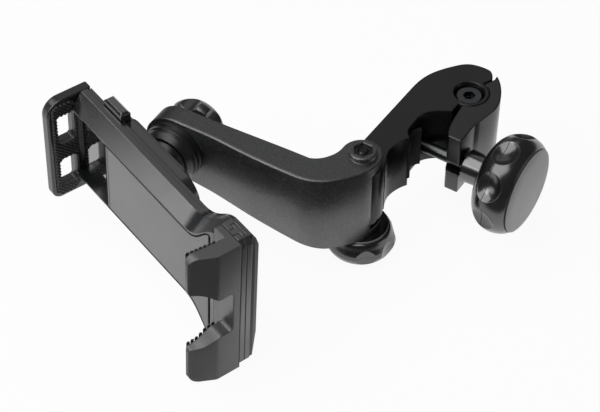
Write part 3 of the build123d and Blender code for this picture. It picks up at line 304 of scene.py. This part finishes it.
def moulding(name, base, rough, size, depth, radius=0.0004, wave=0.004, fleck_colour=None,
             fleck_share=0.0, edge_colour=None, spread=0.05, specular=1.0, crown=0.0, middle=0.0,
             ior=1.5, seam_at=None, coat=0.0, polish_past=None, edge_share=0.6, rounded=True,
             seam_past=None):
    """A moulded finish: base colour, grain of a size and depth in metres, eased edges.

    crown and middle bow upright walls about a height. seam_at is (axis, place, half width) of a
    parting line, seam_past (axis, place) where it starts, and polish_past (axis, place,
    roughness, coated) a zone with a finish of its own.
    """
    material = bpy.data.materials.new(name)
    material.use_nodes = True
    tree = material.node_tree
    shader = tree.nodes["Principled BSDF"]
    shader.inputs["Specular IOR Level"].default_value = specular
    shader.inputs["IOR"].default_value = ior
    shader.inputs["Coat Weight"].default_value = coat
    shader.inputs["Coat Roughness"].default_value = 0.04
    shader.inputs["Coat IOR"].default_value = 1.6
    skin = tree.nodes.new("ShaderNodeGroup")
    skin.node_tree = grain
    skin.inputs["Size"].default_value = size
    skin.inputs["Wave"].default_value = wave
    rim = tree.nodes.new("ShaderNodeGroup")
    rim.node_tree = eased
    rim.inputs["Radius"].default_value = radius
    touch = tree.nodes.new("ShaderNodeGroup")
    touch.node_tree = handled
    flecks = tree.nodes.new("ShaderNodeMix")
    flecks.data_type = "RGBA"
    flecks.inputs["A"].default_value = (*base, 1)
    flecks.inputs["B"].default_value = (*(fleck_colour or [c * 1.8 for c in base]), 1)
    part_of = tree.nodes.new("ShaderNodeMath")
    part_of.operation = "MULTIPLY"
    part_of.inputs[1].default_value = fleck_share
    # edges within the eased radius take edge_colour, by default a lighter copy of the base colour
    edge_tint = tree.nodes.new("ShaderNodeMix")
    edge_tint.data_type = "RGBA"
    edge_tint.inputs["B"].default_value = (*(edge_colour or [c * 1.5 for c in base]), 1)
    half = tree.nodes.new("ShaderNodeMath")
    half.operation = "MULTIPLY"
    half.inputs[1].default_value = edge_share
    vary = tree.nodes.new("ShaderNodeMapRange")
    vary.inputs["From Min"].default_value = 0.3
    vary.inputs["From Max"].default_value = 0.7
    vary.inputs["To Min"].default_value = rough - spread
    vary.inputs["To Max"].default_value = rough + spread
    relief = tree.nodes.new("ShaderNodeBump")
    relief.inputs["Distance"].default_value = depth
    relief.inputs["Strength"].default_value = 1.0
    tree.links.new(skin.outputs["Fleck"], part_of.inputs[0])
    tree.links.new(part_of.outputs[0], flecks.inputs["Factor"])
    tree.links.new(flecks.outputs["Result"], edge_tint.inputs["A"])
    tree.links.new(rim.outputs["Edge"], half.inputs[0])
    tree.links.new(half.outputs[0], edge_tint.inputs["Factor"])
    colour = edge_tint.outputs["Result"]
    if seam_at:
        groove = tree.nodes.new("ShaderNodeGroup")
        groove.node_tree = seam
        groove.inputs["Axis"].default_value = seam_at[0]
        groove.inputs["At"].default_value = seam_at[1]
        groove.inputs["Width"].default_value = seam_at[2]
        line = groove.outputs["Line"]
        if seam_past:
            only = tree.nodes.new("ShaderNodeGroup")
            only.node_tree = seam
            only.inputs["Axis"].default_value = seam_past[0]
            only.inputs["At"].default_value = seam_past[1]
            both = tree.nodes.new("ShaderNodeMath")
            both.operation = "MULTIPLY"
            tree.links.new(line, both.inputs[0])
            tree.links.new(only.outputs["Beyond"], both.inputs[1])
            line = both.outputs[0]
        # the groove's line is painted near black, painted shade in the groove, besides its bump and dull finish
        groove_shade = tree.nodes.new("ShaderNodeMix")
        groove_shade.data_type = "RGBA"
        groove_shade.inputs["B"].default_value = (0.002, 0.002, 0.002, 1)
        dull = tree.nodes.new("ShaderNodeMix")
        dull.data_type = "FLOAT"
        dull.inputs["B"].default_value = 0.9
        tree.links.new(line, groove_shade.inputs["Factor"])
        tree.links.new(colour, groove_shade.inputs["A"])
        tree.links.new(line, dull.inputs["Factor"])
        colour = groove_shade.outputs["Result"]
    tree.links.new(colour, shader.inputs["Base Color"])
    tree.links.new(touch.outputs["Patch"], vary.inputs["Value"])
    gloss = vary.outputs["Result"]
    if polish_past:
        limit = tree.nodes.new("ShaderNodeGroup")
        limit.node_tree = seam
        limit.inputs["Axis"].default_value = polish_past[0]
        limit.inputs["At"].default_value = polish_past[1]
        buffed = tree.nodes.new("ShaderNodeMix")
        buffed.data_type = "FLOAT"
        buffed.inputs["B"].default_value = polish_past[2]
        tree.links.new(limit.outputs["Beyond"], buffed.inputs["Factor"])
        tree.links.new(gloss, buffed.inputs["A"])
        if polish_past[3]:
            tree.links.new(limit.outputs["Beyond"], shader.inputs["Coat Weight"])
        gloss = buffed.outputs["Result"]
    if seam_at:
        tree.links.new(gloss, dull.inputs["A"])
        gloss = dull.outputs["Result"]
    tree.links.new(gloss, shader.inputs["Roughness"])
    tree.links.new(skin.outputs["Height"], relief.inputs["Height"])
    swell = tree.nodes.new("ShaderNodeGroup")
    swell.node_tree = bowed
    swell.inputs["Bow"].default_value = crown
    swell.inputs["Middle"].default_value = middle
    belly = tree.nodes.new("ShaderNodeBump")
    belly.inputs["Distance"].default_value = 1.0
    height = swell.outputs["Height"]
    if seam_at:
        dip = tree.nodes.new("ShaderNodeMath")
        dip.operation = "MULTIPLY_ADD"
        dip.inputs[1].default_value = -0.0003
        tree.links.new(line, dip.inputs[0])
        tree.links.new(height, dip.inputs[2])
        height = dip.outputs[0]
    tree.links.new(height, belly.inputs["Height"])
    if rounded:
        tree.links.new(rim.outputs["Normal"], belly.inputs["Normal"])
    tree.links.new(belly.outputs["Normal"], relief.inputs["Normal"])
    tree.links.new(relief.outputs["Normal"], shader.inputs["Normal"])
    return material


def finish_of(node, material):
    mesh = part[node].data
    mesh.materials.clear()
    mesh.materials.append(material)


clamp_skin = moulding("clamp nylon", (0.0045, 0.0047, 0.005), 0.25, 0.0007, 0.000014, radius=0.0009, wave=0.006,
                      specular=0.5, crown=10.0, middle=-0.03)
finish_of("clamp_body", clamp_skin)

# Liner in the post hollow: a strip of soft black rubber pressed in, a little greyer than the
# moulding round it.
finish_of("post_liner", moulding("liner rubber", (0.010, 0.0103, 0.0106), 0.6, 0.0006, 0.00003, radius=0.0003,
                                  specular=0.3, crown=10.0, middle=-0.03))


# Stud, hinge screw and nuts: turned steel, dark zinc on the stud and the lock bolt and blackened on
# the rest. The screw clamps the jaw's knuckle between the body's two, with its nut below.
def steel(name, base, rough, ring):
    metal = bpy.data.materials.new(name)
    metal.use_nodes = True
    tree = metal.node_tree
    shader = tree.nodes["Principled BSDF"]
    shader.inputs["Metallic"].default_value = 1.0
    where = tree.nodes.new("ShaderNodeTexCoord")
    lines = tree.nodes.new("ShaderNodeTexNoise")
    lines.inputs["Scale"].default_value = ring
    lines.inputs["Detail"].default_value = 3
    tone = tree.nodes.new("ShaderNodeMix")
    tone.data_type = "RGBA"
    tone.inputs["A"].default_value = (*[c * 0.8 for c in base], 1)
    tone.inputs["B"].default_value = (*base, 1)
    gloss = tree.nodes.new("ShaderNodeMapRange")
    gloss.inputs["To Min"].default_value = rough * 0.7
    gloss.inputs["To Max"].default_value = rough * 1.5
    rim = tree.nodes.new("ShaderNodeGroup")
    rim.node_tree = eased
    rim.inputs["Radius"].default_value = 0.0003
    relief = tree.nodes.new("ShaderNodeBump")
    relief.inputs["Distance"].default_value = 0.00001
    tree.links.new(where.outputs["Object"], lines.inputs["Vector"])
    tree.links.new(lines.outputs["Fac"], tone.inputs["Factor"])
    tree.links.new(lines.outputs["Fac"], gloss.inputs["Value"])
    tree.links.new(lines.outputs["Fac"], relief.inputs["Height"])
    tree.links.new(rim.outputs["Normal"], relief.inputs["Normal"])
    tree.links.new(tone.outputs["Result"], shader.inputs["Base Color"])
    tree.links.new(gloss.outputs["Result"], shader.inputs["Roughness"])
    tree.links.new(relief.outputs["Normal"], shader.inputs["Normal"])
    return metal


zinc = steel("zinc on steel", (0.10, 0.103, 0.106), 0.30, 900)
black_steel = steel("blackened steel", (0.045, 0.046, 0.048), 0.30, 900)
for node in ("clamp_stud", "lock_bolt"):
    finish_of(node, zinc)
for node in ("jaw_hinge_nut", "hinge_bolt"):
    finish_of(node, black_steel)
finish_of("jaw_hinge_screw", steel("oiled black steel", (0.10, 0.103, 0.107), 0.16, 900))

# Clamp jaw: the same nylon as the body, one moulding that swings on the hinge screw and is forked
# round the stud at its free end.
finish_of("clamp_jaw", moulding("jaw nylon", (0.0045, 0.0047, 0.005), 0.25, 0.0007, 0.000010, radius=0.0012,
                                wave=0.006, specular=0.7, crown=10.0, middle=-0.006))

# Thrust sleeve: turned acetal, smooth and glossy, loose on the stud between the knob and the jaw,
# which it pushes on.
sleeve_skin = moulding("smooth black", (0.008, 0.0082, 0.0085), 0.17, 0.0012, 0.000005, radius=0.0005,
                       spread=0.03, ior=1.7)
finish_of("thrust_sleeve", sleeve_skin)

# Large knob: a glossy lobed moulding with a satin cap pressed into its face and a brass
# threaded insert in its middle.
knob_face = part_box("clamp_knob")[1][1]
cap_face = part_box("clamp_knob_cap")[1][1]
knob_parting = 0.0096      # parting line behind the knob's face
finish_of("clamp_knob", moulding("knob moulding", (0.009, 0.0092, 0.0095), 0.21, 0.0012, 0.000005,
                                 radius=0.0007, spread=0.03, ior=1.6,
                                 seam_at=((0, 1, 0), knob_face - knob_parting, 0.00009)))
finish_of("clamp_knob_cap", moulding("satin cap", (0.29, 0.291, 0.289), 0.46, 0.0005, 0.000010, radius=0.0006,
                                    rounded=False, seam_at=((0, 1, 0), cap_face - 0.0003, 0.0004)))
brass = steel("turned brass", (0.75, 0.58, 0.28), 0.25, 900)
for node in ("clamp_knob_insert", "hinge_knob_insert", "lock_knob_insert"):
    finish_of(node, brass)

# Arm: one bent nylon moulding with a spark-eroded skin that shows as a fine bright fleck. Its fork
# holds the clamp's knuckle, with a plain spacer under it.
arm_skin = moulding("grained nylon", (0.008, 0.0084, 0.0088), 0.34, 0.00062, 0.00007, radius=0.0008,
                    fleck_colour=(0.20, 0.204, 0.207), fleck_share=0.6, crown=17.0, middle=-0.006, ior=1.55)
finish_of("arm", arm_skin)
finish_of("hinge_spacer", clamp_skin)

# Hexagonal nut on top of the arm: blackened steel, sunk in its boss and held by the hinge bolt that
# the lower knob tightens.
finish_of("hinge_nut", black_steel)

# Small lobed knobs under the arm and behind the ball: mouldings on brass inserts, glossy below the
# hinge, where the parting line shows, and satin behind the ball.
under_foot, under_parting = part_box("hinge_knob")[0][2], 0.0045
finish_of("hinge_knob", moulding("small knob", (0.006, 0.0062, 0.0065), 0.2, 0.0012, 0.000005, radius=0.0005,
                                 spread=0.03, ior=1.6, seam_at=((0, 0, 1), under_foot + under_parting, 0.00009)))
finish_of("lock_knob", moulding("lock knob moulding", (0.010, 0.0102, 0.0105), 0.30, 0.0012, 0.000005,
                                radius=0.0009, spread=0.03, ior=1.6))

# Ball joint: satin black collar and ring on the front of the arm, the ball in them, its neck, and
# the rubber pad that the lock bolt presses on the ball.
satin = moulding("satin black", (0.010, 0.0104, 0.0108), 0.36, 0.0008, 0.00001, radius=0.0004, specular=0.6)
for node in ("socket_collar", "socket_ring", "ball", "ball_neck"):
    finish_of(node, satin)
finish_of("brake_pad", moulding("brake rubber", (0.02, 0.02, 0.02), 0.7, 0.0006, 0.00003))

# Cradle shell and frame: polished black, screwed together along a thin seam. These four give the
# cradle's own directions: along it, up across it, out of its face, and the foot of its middle.
reach = Vector((-0.330847, -0.942594, -0.045357))
across = Vector((-0.000184, -0.048, 0.998847))
outward = Vector((-0.943685, 0.330474, 0.015707))
root = Vector((-0.068642, 0.0986, 0.0035))
cradle_skin = moulding("polished cradle", (0.010, 0.0108, 0.0116), 0.09, 0.0011, 0.000003, radius=0.0006,
                       wave=0.012, spread=0.03, ior=1.75, coat=0.8)
level_0, foot = root.dot(outward), root.dot(reach)
shell_parting, parting_from = 0.0242, 0.086      # out of the cradle's foot, and along it
flare_from, corner_band = 0.064, 0.0022          # satin flare of the frame, dull back corner of the shell
back_corner = (reach - outward).normalized()
corner_at = max(v.co.dot(back_corner) for v in part["rear_shell"].data.vertices)
for node, name, zone in (("rear_shell", "polished shell", (back_corner, corner_at - corner_band, 0.75, False)),
                         ("cradle_frame", "polished frame", (reach, foot + flare_from, 0.34, False))):
    finish_of(node, moulding(name, (0.010, 0.0108, 0.0116), 0.18, 0.0011, 0.000003, radius=0.0006, wave=0.012,
                             spread=0.03, ior=1.7, crown=6.0, middle=0.022, polish_past=zone,
                             seam_at=(outward, level_0 + shell_parting, 0.00026),
                             seam_past=(reach, foot + parting_from)))
finish_of("release_button", cradle_skin)

# Soft panel in the frame's front: matt paint with a fine dry texture, let into the frame up to the
# edge of the sliding jaw's slot.
panel_slot = 0.0040        # groove past the cradle's middle, on the sliding jaw's side
# its edges are painted black all round: painted shade of the gap between panel and frame
finish_of("front_panel", moulding("soft panel", (0.18, 0.181, 0.178), 0.55, 0.00045, 0.00002, radius=0.0006,
                                  fleck_colour=(0.28, 0.28, 0.278), fleck_share=0.4, spread=0.03,
                                  edge_colour=(0.004, 0.004, 0.004), edge_share=1.0, rounded=False,
                                  seam_at=(reach, foot - panel_slot, 0.0002)))

# Painted gap shade: a flat black strip laid just over the gap between the panel and its frame,
# as painted shade of that gap. It follows the edges of the panel's front face.
shade_half, shade_lift, shade_lap = 0.00042, 0.00006, 0.00012
merge, front_band = 0.00001, 0.0012
panel = bmesh.new()
panel.from_mesh(part["front_panel"].data)
bmesh.ops.remove_doubles(panel, verts=panel.verts, dist=merge)
panel.normal_update()
front_level = max(v.co.dot(outward) for v in panel.verts) - front_band
rim_edges = [e for e in panel.edges if len(e.link_faces) == 2
             and sorted(f.normal.dot(outward) > 0.9 for f in e.link_faces) == [False, True]
             and min(v.co.dot(outward) for v in e.verts) > front_level]
shade_strip = bmesh.new()
for e in rim_edges:
    a, b = (v.co for v in e.verts)
    along_edge = (b - a).normalized()
    side = along_edge.cross(outward).normalized() * shade_half
    lift = outward * shade_lift
    ends = along_edge * shade_lap
    corners = [shade_strip.verts.new(p) for p in (a - ends - side + lift, b + ends - side + lift,
                                           b + ends + side + lift, a - ends + side + lift)]
    shade_strip.faces.new(corners)
panel.free()
gap_shade_mesh = bpy.data.meshes.new("panel_gap_shade")
shade_strip.to_mesh(gap_shade_mesh)
shade_strip.free()
gap_shade_mesh.materials.append(moulding("painted gap shade", (0.004, 0.004, 0.004), 0.8, 0.0005, 0.000005,
                                      specular=0.2))
gap_shade = bpy.data.objects.new("panel_gap_shade", gap_shade_mesh)
scene.collection.objects.link(gap_shade)
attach(gap_shade, "cradle")

# Fixed jaw: one satin moulding with two hooks, tied into the frame by its T tabs. A rubber pad sits
# inside each hook.
hook_parting = 0.02705
finish_of("fixed_jaw", moulding("jaw plastic", (0.046, 0.0468, 0.0476), 0.38, 0.0006, 0.00004, radius=0.0010,
                                fleck_share=0.4, crown=6.0, middle=0.03,
                                seam_at=(outward, level_0 + hook_parting, 0.00022)))

# Rubber pads: thin strips glued inside the hooks, with moulded ribs across them, and the sliding
# jaw's pad, with staggered rows of small four-sided bumps that stand over its edges.
rubber = moulding("grip rubber", (0.014, 0.0143, 0.0146), 0.48, 0.0009, 0.00004, radius=0.0002)
rib_rubber = moulding("rib rubber", (0.055, 0.0558, 0.0566), 0.55, 0.0009, 0.00004, rounded=False)


def pad_with(name, node, body, build, finish):
    """A copy of a packed pad with the relief that build(mesh, surface) adds."""
    mesh = bmesh.new()
    mesh.from_mesh(part[node].data)
    surface = BVHTree.FromBMesh(mesh)
    build(mesh, surface)
    pad = bpy.data.meshes.new(name)
    mesh.to_mesh(pad)
    mesh.free()
    pad.materials.clear()
    pad.materials.append(finish)
    piece = bpy.data.objects.new(name, pad)
    scene.collection.objects.link(piece)
    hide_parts(node)
    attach(piece, body)


def bumps(mesh, surface):
    pitch, half, flat, tall = 0.00205, 0.00112, 0.0004, 0.0007
    first_row, row_pitch, sunk_by = 0.020, pitch / 2 * 1.05, 0.0001
    for row in range(-20, 21):
        for column in range(-3, 30):
            v = (row + 0.5 * (column % 2)) * pitch
            n = first_row + column * row_pitch
            start = root + reach * 0.02 + across * v + outward * n
            spot = surface.ray_cast(start, -reach, 0.09)[0]
            if spot is None:
                continue
            ring = [mesh.verts.new(spot + (across * a + outward * b) * half - reach * sunk_by)
                    for a, b in ((1, 0), (0, 1), (-1, 0), (0, -1))]
            cap = [mesh.verts.new(spot + (across * a + outward * b) * flat + reach * tall)
                   for a, b in ((1, 0), (0, 1), (-1, 0), (0, -1))]
            for k in range(4):
                mesh.faces.new((ring[k], ring[(k + 1) % 4], cap[(k + 1) % 4], cap[k]))
            mesh.faces.new(cap)


def ribs(mesh, surface):
    hook = BVHTree.FromPolygons([v.co for v in part["fixed_jaw"].data.vertices],
                                [tuple(f.vertices) for f in part["fixed_jaw"].data.polygons])
    pitch, half, tall, step = 0.0021, 0.00095, 0.00055, 0.0005
    first_row, shortest, sunk_by = 0.0292, 0.002, 0.0001
    for row in range(12):
        n = first_row + row * pitch
        runs, last = [], None
        for k in range(-68, 69):
            v = k * step
            start = root + reach * 0.03 + across * v + outward * n
            spot = surface.ray_cast(start, reach, 0.075)[0]
            if spot is None:
                last = None
                continue
            if last is None:
                runs.append([spot, spot])
            runs[-1][1] = last = spot
        for low, high in runs:
            if (high - low).length < shortest:
                continue
            # carry the rib up to the hook's own top edge
            for _ in range(20):
                above = high + across * step
                if hook.ray_cast(above, reach, 0.004)[0] is None:
                    break
                high = above
            ends = []
            for end in (low, high):
                ends.append([mesh.verts.new(end + outward * side * half + reach * sunk_by) for side in (-1, 1)]
                            + [mesh.verts.new(end - reach * tall)])
            (a, b, c), (d, e, f) = ends
            for face in ((a, b, c), (d, f, e), (a, c, f, d), (b, e, f, c), (a, d, e, b)):
                mesh.faces.new(face)


pad_with("hook_pad_ribs", "hook_pads", "cradle", ribs, rib_rubber)

# Sliding jaw: a satin moulding with two windows on a flat tongue, polished where it runs in under the
# panel.
tongue_from = 0.0342       # polished zone of the tongue, past the cradle's middle
jaw_skin = moulding("satin jaw", (0.012, 0.0125, 0.013), 0.24, 0.0007, 0.000008, radius=0.0007, specular=0.7,
                    polish_past=(reach, foot - tongue_from, 0.04, True))
finish_of("sliding_jaw", jaw_skin)
pad_with("jaw_pad_bumps", "jaw_grip", "sliding_jaw", bumps, rubber)
